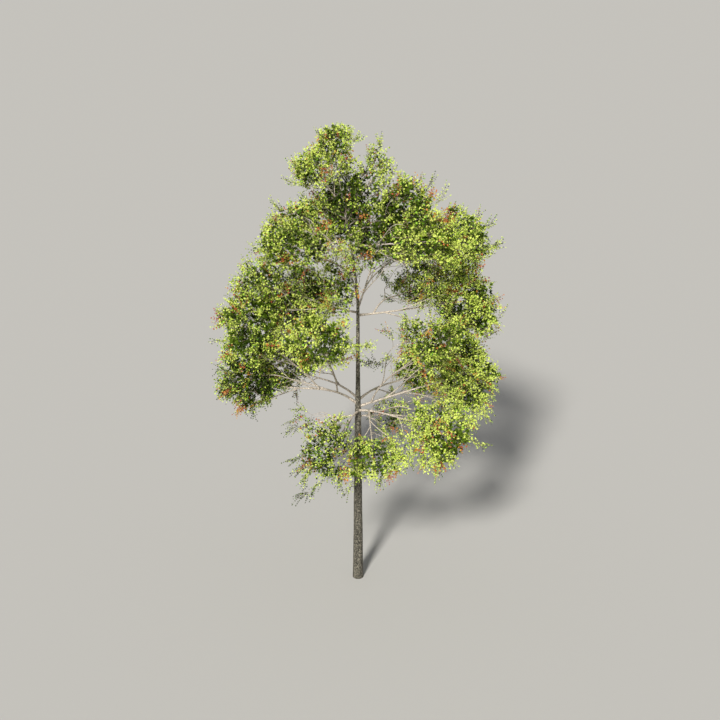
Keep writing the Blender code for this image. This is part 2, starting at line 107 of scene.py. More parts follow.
# parent, where on it (metres up the trunk, or a share along a bough), degrees above level, radius,
# then the mass: azimuth, reach, height, and its radii outward, across and upward
# last, how much painted sunlight its leaves' colours get, from 0 up (low is painted shade), and how full
# of side twigs it is, where 1 is usual
crown = {
    "low_left": ("trunk", 5.86, 46, 0.036, (186, 3.18, 6.78, 1.12, 1.5, 0.9), 0.0, 1.0),
    "low_far_left": ("trunk", 5.5, -5, 0.018, (160, 1.48, 5.03, 0.85, 0.6, 0.45), 0.2, 0.4),
    "low_front_left": ("trunk", 5.62, 12, 0.03, (250, 2.55, 5.36, 1.22, 0.8, 1.02), 0.3, 0.75),
    "low_front_right": ("trunk", 5.66, 18, 0.034, (315, 3.15, 6.12, 1.2, 1.34, 1.12), 1.25, 1.0),
    "low_front": ("low_front_right", 0.22, -15, 0.024, (279, 2.75, 5.41, 1.15, 1.22, 0.66), 1.15, 1.0),
    "low_inner": ("trunk", 5.42, 24, 0.02, (34, 1.1, 5.3, 0.6, 0.55, 0.75), 0.2, 1.3),
    "low_right": ("trunk", 5.78, 16, 0.034, (7, 3.27, 6.7, 1.05, 1.5, 1.4), 1.1, 1.0),
    "low_back_right": ("trunk", 5.98, 18, 0.034, (49, 3.15, 6.1, 1.25, 1.35, 1.22), 0.7, 1.0),
    "low_back_left": ("trunk", 6.04, 24, 0.032, (135, 3.3, 6.3, 1.25, 1.4, 1.0), 0.5, 1.0),
    "mid_left": ("low_left", 0.52, 55, 0.024, (193, 3.06, 8.45, 1.05, 1.5, 1.0), 0.85, 1.0),
    "mid_front_left": ("low_left", 0.3, 72, 0.022, (245, 2.35, 8.5, 1.25, 1.12, 0.82), 1.3, 1.0),
    "mid_back_left": ("low_back_left", 0.4, 62, 0.024, (128, 3.3, 7.95, 1.3, 1.35, 1.0), 0.5, 1.0),
    "up_left": ("trunk", 8.68, 6, 0.028, (174, 2.72, 9.42, 1.1, 1.45, 0.93), 0.5, 1.0),
    "mid_left_inner": ("up_left", 0.2, 20, 0.018, (156, 1.7, 9.15, 1.1, 1.2, 0.85), 0.45, 1.1),
    "mid_inner": ("trunk", 9.2, 35, 0.018, (242, 1.0, 9.72, 0.9, 0.68, 1.13), 0.5, 1.3),
    "mid_right": ("trunk", 8.6, 4, 0.03, (5, 3.12, 8.93, 1.12, 1.55, 1.24), 0.95, 1.0),
    "mid_front_right": ("low_right", 0.16, 64, 0.024, (316, 2.65, 8.4, 1.18, 1.12, 0.95), 0.75, 1.0),
    "mid_back_right": ("mid_right", 0.2, 40, 0.022, (52, 3.2, 8.9, 1.28, 1.25, 1.0), 0.6, 1.0),
    "up_inner": ("trunk", 8.78, 72, 0.026, (352, 0.62, 10.78, 1.0, 1.0, 0.82), 0.05, 1.2),
    "up_back_right": ("up_inner", 0.2, 66, 0.02, (54, 2.6, 10.4, 1.25, 1.3, 0.95), 0.5, 1.0),
    "up_back_left": ("trunk", 9.25, 38, 0.026, (112, 2.3, 10.9, 1.25, 1.35, 0.95), 0.5, 1.0),
    "up_front_left": ("trunk", 9.7, 42, 0.024, (228, 2.25, 11.05, 1.18, 1.2, 0.67), 0.5, 1.0),
    "up_far_left": ("trunk", 10.2, 35, 0.02, (169, 2.02, 11.05, 0.85, 1.3, 0.72), 0.8, 1.0),
    "up_front_right": ("trunk", 10.6, 12, 0.022, (317, 2.5, 11.15, 1.25, 1.15, 0.9), 1.15, 1.0),
    "up_right": ("trunk", 10.4, 8, 0.022, (4, 2.9, 10.75, 1.0, 1.5, 1.0), 0.7, 1.0),
    "top_right": ("trunk", 10.9, 30, 0.02, (8, 1.35, 11.75, 1.05, 1.3, 0.93), 0.65, 1.0),
    "top_inner": ("trunk", 11.1, 45, 0.018, (140, 0.5, 11.85, 1.05, 0.98, 0.8), 0.2, 1.2),
    "top_middle": ("trunk", 11.5, 55, 0.016, (20, 0.55, 12.62, 0.55, 0.6, 0.84), 0.7, 1.5),
    "top_far_left": ("trunk", 11.75, 30, 0.016, (166, 1.24, 12.65, 0.72, 0.9, 0.7), 0.9, 1.5),
    "top_left": ("trunk", None, None, None, (189, 0.62, 13.3, 0.6, 0.76, 0.82), 0.95, 1.6),
}


# the space of each mass, less what lies nearer to a neighbour's middle

def makeSpace(mass):
    azimuth, reach, height, outward, across, upward = mass
    out = heading(azimuth)
    axes = np.stack([out, [-out[1], out[0], 0.0], [0, 0, 1]])
    return {"middle": out * reach + np.array([0, 0, height]), "axes": axes,
            "radii": np.array([outward, across, upward])}


def depthIn(space, points):  # 0 at the middle, 1 on the skin
    return np.linalg.norm((points - space["middle"]) @ space["axes"].T / space["radii"], axis=-1)


def placeIn(space, direction, share):
    return space["middle"] + direction * share / depthIn(space, space["middle"] + direction)


spaces = {name: makeSpace(row[4]) for name, row in crown.items()}
middles = np.array([space["middle"] for space in spaces.values()])
scales = np.array([space["axes"].T / space["radii"] for space in spaces.values()])
meanRadii = np.array([np.cbrt(np.prod(space["radii"])) for space in spaces.values()])

# the crown's skin runs smoothly from one mass to the next, with lobes and hollows all over it
skin = {
    "blend": 3.4,  # higher where the masses stay more apart
    "lobes": 0.42,  # depth of the hollows, as a share of a mass's radius
    "longWave": 1.8, "shortWave": 9.5, "waves": 9,  # radians per metre, and how many are summed
    "waveGain": 2.1,  # brings their mean to about -1 to 1
}
waves = np.random.default_rng(5)
lobeWays = unit(waves.normal(size=(skin["waves"], 3)))
lobeWays = lobeWays * np.linspace(skin["longWave"], skin["shortWave"], skin["waves"])[:, None]
lobePhases = waves.uniform(0, 2 * math.pi, skin["waves"])


def crownDepth(points):
    # the mass that each point belongs to, and its depth in the crown: 1 on the skin
    depths = np.linalg.norm(np.einsum("nsi,sij->nsj", points[:, None] - middles, scales), axis=2)
    return depths.argmin(1), -np.log(np.exp(-skin["blend"] * depths).sum(1)) / skin["blend"]


def skinDepth(points):
    wave = np.sin(points @ lobeWays.T + lobePhases).mean(1) * skin["waveGain"]
    return 1 - skin["lobes"] * np.clip(0.5 - 0.5 * wave, 0, 1)


def metresInside(points):  # how far each point is inside the crown's skin
    own, deep = crownDepth(points)
    return (skinDepth(points) - deep) * meanRadii[own]


# limbs, each as its points and radii

def trunkCentre(height):
    lean = max(0.0, height - trunk["leanFrom"]) / (trunk["height"] - trunk["leanFrom"])
    return np.array([-trunk["lean"] * lean ** trunk["leanPower"], 0.0, height])


def trunkRadius(height):
    taper = trunk["radius"] * (1 - height / trunk["height"]) ** trunk["taper"]
    above = (height - trunk["stepFrom"]) / (trunk["stepTo"] - trunk["stepFrom"])
    taper *= 1 - trunk["step"] * min(1.0, max(0.0, above))
    return max(trunk["tipRadius"], taper) + trunk["flare"] * math.exp(-height / trunk["flareHeight"])


def trunkLimb(count):
    heights = np.linspace(0, trunk["top"], count)
    return np.array([trunkCentre(h) for h in heights]), np.array([trunkRadius(h) for h in heights])


def boughLimb(name):
    parent, at, leaves, radius = crown[name][:4]
    space = spaces[name]
    root = trunkCentre(at) if parent == "trunk" else along(limbs[parent], at)[0]
    entry = placeIn(space, root - space["middle"], bough["entry"])
    span = np.linalg.norm(entry - root)
    ahead = space["middle"] - root
    azimuth = math.degrees(math.atan2(ahead[1], ahead[0]))
    spring = root + heading(azimuth, leaves) * span * bough["spring"]
    aim = entry - unit(space["middle"] - entry) * span * bough["aim"]
    share = np.linspace(0, 1, bough["stations"])
    radii = radius + (bough["tipRadius"] - radius) * share
    collar = 1 + bough["collar"] * np.exp(-share * span / bough["collarLength"])
    return bezier(root, spring, aim, entry, bough["stations"]), radii * collar


def stemLimb(name):  # carries on from the bough's tip and bends out through the mass
    space = spaces[name]
    points, radii = limbs.get(name) or limbs["trunk"]
    tip = points[-1]
    ahead = unit(tip - points[-2])
    start = tip + ahead * bough["stemStraight"]
    end = placeIn(space, unit(space["middle"] - tip) + space["axes"][0] * bough["stemSpread"],
                  bough["stemReach"])
    spring = start + ahead * np.linalg.norm(end - start) * bough["stemSpring"]
    stem = np.vstack([tip, bezier(start, spring, space["middle"], end, bough["stemStations"])])
    return stem, np.linspace(radii[-1], bough["stemTipRadius"], len(stem))


limbs = {"trunk": trunkLimb(trunk["stations"])}
for name, row in crown.items():
    if row[1] is not None:
        limbs[name] = boughLimb(name)
stems = {name: stemLimb(name) for name in crown}
print("limbs planned:", len(limbs))


# side branches, fanning out from each bough before it enters its mass

sideBranch = {
    "shares": (0.34, 0.54, 0.76),  # where they leave the bough
    "turn": 137.5, "spread": 1.15, "depth": 0.72,  # round the bough, and where they end in the mass
    "shrink": 0.72, "leastRadius": 0.008, "tipShare": 0.45, "tipRadius": 0.0035,
    "forks": (0.4, 0.62), "forkSpread": 0.8, "forkShrink": 0.62,
    "forkTurn": 2.2, "forkStep": 2.6,  # radians round the branch
    "look": 0.05,  # share either side that gives the limb's direction
    "spring": 0.4, "springOut": 0.3, "aim": 0.3,  # shares of the branch's span
    "stations": 9, "sides": 6, "ringSpacing": 0.09, "gap": 0.03,
}

limbSpacing = 0.04  # metres between the points that stand for a limb
limbPoints = []
limbRadii = []
limbNames = []
for name, limb in limbs.items():
    count = math.ceil(stepLengths(limb[0]).sum() / limbSpacing)
    spots, sizes = along(limb, np.linspace(0, 1, count))
    limbPoints.append(spots)
    limbRadii.append(sizes)
    limbNames.extend([name] * len(spots))
limbPoints = np.concatenate(limbPoints)
limbRadii = np.concatenate(limbRadii)
limbNames = np.array(limbNames)


def offshoot(limb, share, turn, target, name, spread, depth, shrink):
    # one branch from a limb, bending off it and then in towards the mass
    space = spaces[name]
    place, radius = along(limb, share)
    further = along(limb, min(1.0, share + sideBranch["look"]))[0]
    ahead = unit(further - along(limb, share - sideBranch["look"])[0])
    side = unit(np.cross(ahead, [0, 0, 1]))
    lift = np.cross(side, ahead)
    out = side * math.cos(turn) + lift * math.sin(turn)
    end = placeIn(space, unit(target - space["middle"]) + out * spread, depth)
    span = np.linalg.norm(end - place)
    leaving = unit(ahead + unit(end - place) + out * sideBranch["springOut"])
    spring = place + leaving * span * sideBranch["spring"]
    aim = end - unit(space["middle"] - end + ahead) * span * sideBranch["aim"]
    first = max(sideBranch["leastRadius"], radius * shrink)
    last = max(sideBranch["tipRadius"], first * sideBranch["tipShare"])
    stations = sideBranch["stations"]
    return bezier(place, spring, aim, end, stations), np.linspace(first, last, stations)


def clearOf(limb, names):
    # whether a branch keeps clear of all the limbs but its own
    others = ~np.isin(limbNames, names)
    gaps = np.linalg.norm(limb[0][2:, None] - limbPoints[None, others], axis=2) - limbRadii[others]
    return gaps.min() > sideBranch["gap"]


def growSideBranches(name, seed):
    limb = limbs[name]
    grown = []
    for k, share in enumerate(sideBranch["shares"]):
        turn = math.radians(sideBranch["turn"]) * k + seed * goldenAngle
        branch = offshoot(limb, share, turn, limb[0][-1], name,
                          sideBranch["spread"], sideBranch["depth"], sideBranch["shrink"])
        if not clearOf(branch, [name, crown[name][0]]):
            continue
        grown.append(branch)
        for j, fork in enumerate(sideBranch["forks"]):
            forkTurn = turn + sideBranch["forkTurn"] + sideBranch["forkStep"] * j
            finer = offshoot(branch, fork, forkTurn, branch[0][-1], name,
                             sideBranch["forkSpread"], sideBranch["depth"], sideBranch["forkShrink"])
            if clearOf(finer, [name, crown[name][0]]):
                grown.append(finer)
    return grown


sideBranches = {
    name: growSideBranches(name, seed) for seed, name in enumerate(crown) if name in limbs
}
print("side branches grown:", sum(len(grown) for grown in sideBranches.values()))


# twigs

twig = {
    "mainBuds": 6.45,  # the solids' own twig ends, for a mass of one metre's radius
    "sideBuds": 158,  # for each cubic metre of radii
    "mainDepth": (0.4, 0.7), "sideDepth": (0.4, 1.25),
    "seedStep": 0.37,  # sets the levels' buds apart
    "strayBud": 0.05,  # metres of chance in a bud's place
    "balance": 0.5,  # weight of the way back to the bough
    "branchWay": 0.3,  # metres of that way from a side branch
    "forks": (0.3, 0.5, 0.72, 0.92),  # where others may grow from a twig
    "spreadRatio": 1.2207440846,
    "limbGap": 0.015, "limbReach": 1.4,  # which limbs may be near, in radii of the mass
    "stations": 6, "shortest": 0.08,
    "bend": 0.35,  # how far a twig keeps its parent's direction
    "fromTrunk": 0.3, "strayFacing": 0.3,  # in the direction that its end takes
    "aim": 0.5, "longestAim": 0.3,
    "shrink": 0.66, "leastRadius": 0.0035, "tipShare": 0.5, "leastTip": 0.6,
    "within": 0.92,  # how near to the skin a side twig may end
    "leaders": 9, "leaderDepth": (0.86, 1.12),  # long ones that stand proud of it
    "beyondSolids": 0.02,  # how far past the solids' box a twig may end
}

# single long twigs that draw the crown's outline and close the seams between masses: where they
# end, by mass
outerTwigs = {
    "low_front_left": ((-1.62, -2.95, 4.35), (-1.45, -2.85, 4.72), (-1.2, -2.9, 4.5), (-0.5, -2.8, 4.7)),
    "low_front": ((-0.3, -2.7, 4.35), (0.6, -2.9, 4.7)),
    "low_front_right": ((2.15, -2.6, 4.9), (2.6, -2.5, 5.2),
                        (2.3, -2.4, 7.3), (2.6, -2.1, 7.35), (2.0, -2.2, 7.25), (2.5, -2.7, 7.1)),
    "low_left": ((-3.05, -0.4, 5.75), (-3.2, -0.9, 6.25), (-4.1, -0.2, 6.5), (-4.0, 0.1, 6.9)),
    "low_far_left": ((-2.15, 0.8, 4.6), (-2.0, 0.4, 5.1), (-1.8, 0.5, 5.45)),
    "low_right": ((3.55, 0.2, 5.55), (4.05, 0.3, 6.0)),
    "mid_inner": ((-0.68, -0.7, 10.62), (-0.35, -0.6, 10.66), (-0.2, -0.75, 10.4), (-0.5, -0.5, 10.3)),
    "mid_left_inner": ((-0.75, 0.3, 10.15), (-1.1, 0.1, 10.25)),
    "up_inner": ((-0.3, -0.1, 10.35), (-0.15, 0.1, 10.15), (0.1, -0.5, 10.1)),
    "mid_left": ((-3.85, -0.6, 8.85),),
    "mid_right": ((4.15, 0.3, 8.95), (3.1, -1.0, 9.95), (2.5, -0.9, 9.8), (1.75, -0.5, 9.7)),
    "mid_front_right": ((0.5, -1.2, 7.6), (0.25, -1.0, 7.5), (0.8, -1.3, 7.75),
                        (1.7, -1.6, 9.55), (2.2, -1.5, 9.6), (2.6, -1.4, 9.5), (1.9, -2.1, 9.55),
                        (2.1, -1.7, 7.35), (2.6, -1.6, 7.4), (1.8, -2.1, 7.4)),
    "mid_front_left": ((0.05, -2.0, 7.95), (-0.15, -2.05, 8.4), (-1.1, -2.2, 9.55), (-1.5, -2.0, 9.6),
                       (-0.8, -1.9, 9.55)),
    "up_right": ((3.7, 0.1, 11.25), (2.7, -1.1, 9.85), (3.2, -1.1, 9.8), (3.55, -0.8, 9.8)),
    "up_front_right": ((2.3, -0.8, 12.3), (1.4, -1.3, 10.1), (1.85, -1.5, 9.95), (2.3, -1.4, 10.0),
                       (1.9, -2.1, 9.95), (2.3, -1.9, 9.9), (1.6, -1.9, 10.0)),
    "up_front_left": ((-1.3, -2.1, 10.1), (-1.7, -1.9, 10.0), (-1.0, -1.8, 10.1), (-1.5, -1.5, 10.0)),
    "top_middle": ((0.6, 0.2, 13.4),),
    "top_left": ((-0.66, -0.1, 13.95),),
}

shoot = {  # sprays of thin shoots towards each twig's end
    "perTwig": 8, "perInner": 5, "innerDepth": 0.5, "perLeader": 11,
    "from": 0.3, "length": (0.17, 0.36), "lift": 0.35,
    "spread": 0.75, "rootSpread": 1.3, "spreadFall": 0.7, "spreadChance": (0.7, 1.3),
    "outShare": 0.5, "endTurn": 2,  # of the tier's turn outwards, and of the lift at the end
    "stations": 6, "radius": 0.0032, "tip": 0.0015,
    "beyond": 1.16,  # how far past the skin they may reach
    "beyondSolids": 0.06,
}

# which way the shoots turn at their ends, by tier: up and down, and out from the mass
shootTurn = {
    "low": {"up": -0.3, "out": 0.8}, "mid": {"up": 0.2, "out": 0.7},
    "up": {"up": 0.5, "out": 0.7}, "top": {"up": 0.9, "out": 0.6},
}


def reaches(points, margin):  # whether points stay in the solids' box, or this far past it
    low, high = np.array(solidBox)
    return ((points > low - margin) & (points < high + margin)).all(axis=-1)


def budPlaces(space, count, depths, seed):
    evenSteps = twig["spreadRatio"] ** -np.arange(1.0, 4.0)
    shares = (np.outer(np.arange(1, count + 1), evenSteps) + seed * goldenAngle) % 1
    inner, outer = (depth**3 for depth in depths)
    deep = np.cbrt(inner + (outer - inner) * shares[:, 0])
    rises = 2 * shares[:, 1] - 1
    turns = 2 * math.pi * shares[:, 2]
    flat = np.sqrt(1 - rises**2)
    ball = np.stack([flat * np.cos(turns), flat * np.sin(turns), rises], axis=1)
    return space["middle"] + (ball * deep[:, None] * space["radii"]) @ space["axes"]


def growTwigs(name, seed):
    # joins each bud, nearest first, to the place with the shortest way back
    space = spaces[name]
    turn = shootTurn[name.split("_")[0]]
    fullness = crown[name][6]
    reach = space["radii"].max() * twig["limbReach"]
    close = np.linalg.norm(limbPoints - space["middle"], axis=1) < reach
    nearPoints, nearRadii = limbPoints[close], limbRadii[close]
    stem, stemRadii = stems[name]
    places = list((stem[1:-1] + stem[2:]) / 2)
    ahead = list(unit(np.diff(stem, axis=0))[1:])
    radii = list((stemRadii[1:-1] + stemRadii[2:]) / 2)
    ways = list(np.cumsum(stepLengths(stem))[1:])
    for points, sizes in sideBranches.get(name, []):
        inside = np.flatnonzero(depthIn(space, points) < 1.0)
        for k in inside[inside > 3]:  # the branch's outer half
            places.append(points[k])
            ahead.append(unit(points[k] - points[k - 1]))
            radii.append(sizes[k])
            ways.append(twig["branchWay"])
    volume = float(np.prod(space["radii"]))
    grown = []
    levels = (  # how many buds, between which depths: main, side, leaders, and the named ends
        (twig["mainBuds"] * volume ** (2 / 3), twig["mainDepth"], 0),
        (twig["sideBuds"] * volume * fullness, twig["sideDepth"], 1),
        (twig["leaders"] * volume ** (2 / 3), twig["leaderDepth"], 2),
        (0, (0, 0), 3),
    )
    for count, depths, level in levels:
        count = round(count * depths[1] ** 3 if level == 1 else count)
        buds = budPlaces(space, count, depths, seed + level * twig["seedStep"])
        if level:
            buds = buds + dice.normal(0, twig["strayBud"], buds.shape)
        own, deep = crownDepth(buds)
        kept = (own == seed) & reaches(buds, twig["beyondSolids"])
        if level == 1:
            kept &= deep < skinDepth(buds) * twig["within"]
        if level == 2:
            kept &= deep > twig["within"]
        buds = buds[kept]
        if level == 3:
            buds = np.array(outerTwigs.get(name, ())).reshape(-1, 3)
        outward = unit(buds - space["middle"]) * turn["out"]
        outward = outward + unit(buds * [1, 1, 0]) * twig["fromTrunk"]
        stray = dice.normal(0, twig["strayFacing"], buds.shape)
        facing = unit(outward + [0, 0, turn["up"]] + stray)
        for k in np.argsort(np.linalg.norm(buds - stem[0], axis=1)):
            bud = buds[k]
            spots = np.array(places)
            gaps = np.linalg.norm(spots - bud, axis=1)
            best = int(np.argmin(gaps + twig["balance"] * np.array(ways)))
            root = spots[best]
            span = gaps[best]
            if span < twig["shortest"]:
                continue
            spring = root + unit(ahead[best] + unit(bud - root)) * span * twig["bend"]
            aim = bud - facing[k] * min(span * twig["aim"], twig["longestAim"])
            curve = bezier(root, spring, aim, bud, twig["stations"])
            own, deep = crownDepth(curve[2:])
            deepest = 1 if level < 2 else depths[1]
            if level < 3 and ((own != seed).any() or deep.max() > deepest):
                continue
            away = np.linalg.norm(curve[2:, None] - nearPoints[None], axis=2) - nearRadii
            if away.min(initial=1.0) < twig["limbGap"]:
                continue
            radius = max(twig["leastRadius"], radii[best] * twig["shrink"])
            tip = max(twig["leastRadius"] * twig["leastTip"], radius * twig["tipShare"])
            grown.append((curve, radius, tip, min(level, 2)))
            for share in twig["forks"]:
                spot = share * (twig["stations"] - 1)
                low = int(spot)
                places.append(curve[low] + (curve[low + 1] - curve[low]) * (spot - low))
                ahead.append(unit(curve[low + 1] - curve[low]))
                radii.append(radius + (tip - radius) * share)
                ways.append(ways[best] + span * share)
    return grown


lastSpan = 4.999  # spans along a twig or a shoot, just short of its last station


def growShoots(name, seed):
    # a spray of shoots along the outer part of each twig
    turn = shootTurn[name.split("_")[0]]
    curves = np.array([grown[0] for grown in twigs[name]])
    tipDepth = crownDepth(curves[:, -1])[1]
    counts = np.where(tipDepth > shoot["innerDepth"], shoot["perTwig"], shoot["perInner"])
    leading = np.array([grown[3] == 2 for grown in twigs[name]])
    counts[leading] = shoot["perLeader"]
    parent = np.repeat(np.arange(len(curves)), counts)
    order = np.concatenate([(np.arange(count) + 0.5) / count for count in counts])
    share = shoot["from"] + (1 - shoot["from"]) * order
    spot = share * lastSpan
    low = spot.astype(int)
    first, second = curves[parent, low], curves[parent, low + 1]
    starts = first + (second - first) * (spot - low)[:, None]
    ahead = unit(second - first)
    side = unit(np.cross(ahead, [0, 0, 1]) + 1e-6)
    up = np.cross(side, ahead)
    around = np.arange(len(parent)) * goldenAngle + dice.uniform(0, 1, len(parent))
    off = side * np.cos(around)[:, None] + up * np.sin(around)[:, None]
    spread = shoot["spread"] * (shoot["rootSpread"] - shoot["spreadFall"] * share)
    spread = spread * dice.uniform(*shoot["spreadChance"], len(parent))
    outward = unit(starts - spaces[name]["middle"]) * turn["out"] * shoot["outShare"]
    ways = unit(ahead + off * spread[:, None] + outward)
    lengths = dice.uniform(*shoot["length"], len(parent))[:, None]
    lift = np.array([0, 0, turn["up"] * shoot["lift"]])
    middle = starts + ways * lengths * 0.5
    ends = middle + unit(ways + lift * shoot["endTurn"]) * lengths * 0.5
    share = np.linspace(0, 1, shoot["stations"])[None, :, None]
    rows = (1 - share) ** 2 * starts[:, None] + 2 * share * (1 - share) * middle[:, None]
    rows = rows + share**2 * ends[:, None]
    own, deep = crownDepth(ends)
    kept = leading[parent] | ((own == seed) & (deep < skinDepth(ends) * shoot["beyond"]))
    kept &= reaches(ends, shoot["beyondSolids"])
    return rows[kept], parent[kept]


twigs = {name: growTwigs(name, seed) for seed, name in enumerate(crown)}
print("twigs grown:", sum(len(grown) for grown in twigs.values()))
shoots = {name: growShoots(name, seed) for seed, name in enumerate(crown)}
print("shoots grown:", sum(len(grown[0]) for grown in shoots.values()))


# meshes from arrays

def addMesh(name, places, corners, sizes, materials, kinds=None, smooth=True):
    mesh = bpy.data.meshes.new(name)
    mesh.vertices.add(len(places))
    mesh.vertices.foreach_set("co", np.asarray(places, np.float32).ravel())
    mesh.loops.add(len(corners))
    mesh.loops.foreach_set("vertex_index", np.asarray(corners, np.int32))
    mesh.polygons.add(len(sizes))
    starts = np.concatenate([[0], np.cumsum(sizes)[:-1]])
    mesh.polygons.foreach_set("loop_start", starts.astype(np.int32))
    if kinds is not None:
        mesh.polygons.foreach_set("material_index", np.asarray(kinds, np.int32))
    mesh.polygons.foreach_set("use_smooth", np.full(len(sizes), smooth))
    mesh.update(calc_edges=True)
    for material in materials:
        mesh.materials.append(material)
    piece = bpy.data.objects.new(name, mesh)
    bpy.context.scene.collection.objects.link(piece)
    return piece


steepRise = 0.8  # a steeper tube starts its ring from x, not from z


def rings(points, radii, sides):
    # a ring of points round each station of each curve: (tubes, stations, sides, 3)
    ahead = unit(np.gradient(points, axis=1))
    main = unit(points[:, -1] - points[:, 0])
    steep = np.abs(main[:, 2:]) > steepRise
    flat = np.where(steep, [[1.0, 0, 0]], [[0, 0, 1.0]])
    side = unit(np.cross(ahead, flat[:, None]))
    up = np.cross(side, ahead)
    turns = np.arange(sides) * 2 * math.pi / sides
    spokes = (side[:, :, None] * np.cos(turns)[None, None, :, None]
              + up[:, :, None] * np.sin(turns)[None, None, :, None])
    return points[:, :, None] + spokes * np.asarray(radii)[:, :, None, None]


def tubeFaces(tubes, stations, sides, pointed):
    # quads between rings, a cap at the root, and a point or a cap at the tip
    perTube = stations * sides + (1 if pointed else 0)
    s, k = np.meshgrid(np.arange(stations - 1), np.arange(sides), indexing="ij")
    nextK = (k + 1) % sides
    quads = np.stack([s * sides + k, s * sides + nextK,
                      (s + 1) * sides + nextK, (s + 1) * sides + k], axis=-1).reshape(-1, 4)
    last = (stations - 1) * sides
    corners = [quads.ravel(), np.arange(sides)[::-1]]
    sizes = [np.full(len(quads), 4), [sides]]
    if pointed:
        ring = np.arange(sides)
        point = np.full(sides, stations * sides)
        fan = np.stack([last + ring, last + (ring + 1) % sides, point], axis=-1)
        corners.append(fan.ravel())
        sizes.append(np.full(sides, 3))
    else:
        corners.append(last + np.arange(sides))
        sizes.append([sides])
    corners = np.concatenate(corners)
    sizes = np.concatenate(sizes)
    offsets = np.arange(tubes)[:, None] * perTube
    return (corners[None] + offsets).ravel(), np.tile(sizes, tubes)


def twigTubes(curves, roots, tips, stations, sides):
    # all twigs of one kind at once, each ending in a point
    shares = np.linspace(0, 1, stations + 1)
    at = shares * (curves.shape[1] - 1)
    low = np.minimum(at.astype(int), curves.shape[1] - 2)
    points = curves[:, low] + (curves[:, low + 1] - curves[:, low]) * (at - low)[None, :, None]
    radii = roots[:, None] + (tips - roots)[:, None] * shares[None]
    ring = rings(points, radii, sides)[:, :-1].reshape(len(curves), -1, 3)
    places = np.concatenate([ring, points[:, -1:]], axis=1)
    corners, sizes = tubeFaces(len(curves), stations, sides, True)
    return places.reshape(-1, 3), corners, sizes


def joined(parts):
    places, corners, sizes, start = [], [], [], 0
    for spots, ends, counts in parts:
        places.append(spots)
        corners.append(ends + start)
        sizes.append(counts)
        start += len(spots)
    return np.concatenate(places), np.concatenate(corners), np.concatenate(sizes)


# materials

def newMaterial(name, colour, roughness):
    material = bpy.data.materials.new(name)
    material.use_nodes = True
    material.diffuse_color = (*colour, 1)
    shader = material.node_tree.nodes["Principled BSDF"]
    shader.inputs["Base Color"].default_value = (*colour, 1)
    shader.inputs["Roughness"].default_value = roughness
    return material, material.node_tree.nodes, material.node_tree.links, shader


def noiseNode(nodes, links, place, scale, detail, roughness=0.55):
    made = nodes.new("ShaderNodeTexNoise")
    made.inputs["Scale"].default_value = scale
    made.inputs["Detail"].default_value = detail
    made.inputs["Roughness"].default_value = roughness
    links.new(place, made.inputs["Vector"])
    return made.outputs["Fac"]


def rampNode(nodes, links, factor, stops):
    ramp = nodes.new("ShaderNodeValToRGB")
    while len(ramp.color_ramp.elements) < len(stops):
        ramp.color_ramp.elements.new(0.5)
    for element, (at, colour) in zip(ramp.color_ramp.elements, stops):
        element.position = at
        element.color = (*colour, 1)
    links.new(factor, ramp.inputs["Fac"])
    return ramp.outputs["Color"]


def mixNode(nodes, links, blend, factor, first, second):
    mix = nodes.new("ShaderNodeMix")
    mix.data_type = "RGBA"
    mix.blend_type = blend
    if isinstance(factor, float):
        mix.inputs[0].default_value = factor
    else:
        links.new(factor, mix.inputs[0])
    links.new(first, mix.inputs[6])
    links.new(second, mix.inputs[7])
    return mix.outputs[2]


def bumpNode(nodes, links, height, strength, distance, shader):
    bump = nodes.new("ShaderNodeBump")
    bump.inputs["Strength"].default_value = strength
    bump.inputs["Distance"].default_value = distance
    links.new(height, bump.inputs["Height"])
    links.new(bump.outputs["Normal"], shader.inputs["Normal"])


barkFinish = {
    "plates": (25, 6, 0.75),  # scale, detail and roughness of the noise
    "stops": (0.38, 0.5, 0.62),  # of dark, middle and pale
    "fleckNoise": (3, 0.6),  # detail and roughness
    "flecks": ((0.42, (0.4, 0.4, 0.4)), (0.6, (1.4, 1.38, 1.32))), "fleckShare": 0.75,
    "roughness": (0.78, 0.97), "bump": (0.6, 0.01),
    "youngBarkAndPaintedLightFrom": 5.0, "youngBarkAndPaintedLightTo": 9.0,  # metres up, where the bark turns lighter: partly younger bark, partly painted light against the crown's shade
}


def rangeNode(nodes, links, factor, low, high, start=0.0, end=1.0):
    ranged = nodes.new("ShaderNodeMapRange")
    ranged.inputs["From Min"].default_value = start
    ranged.inputs["From Max"].default_value = end
    ranged.inputs["To Min"].default_value = low
    ranged.inputs["To Max"].default_value = high
    links.new(factor, ranged.inputs["Value"])
    return ranged.outputs["Result"]


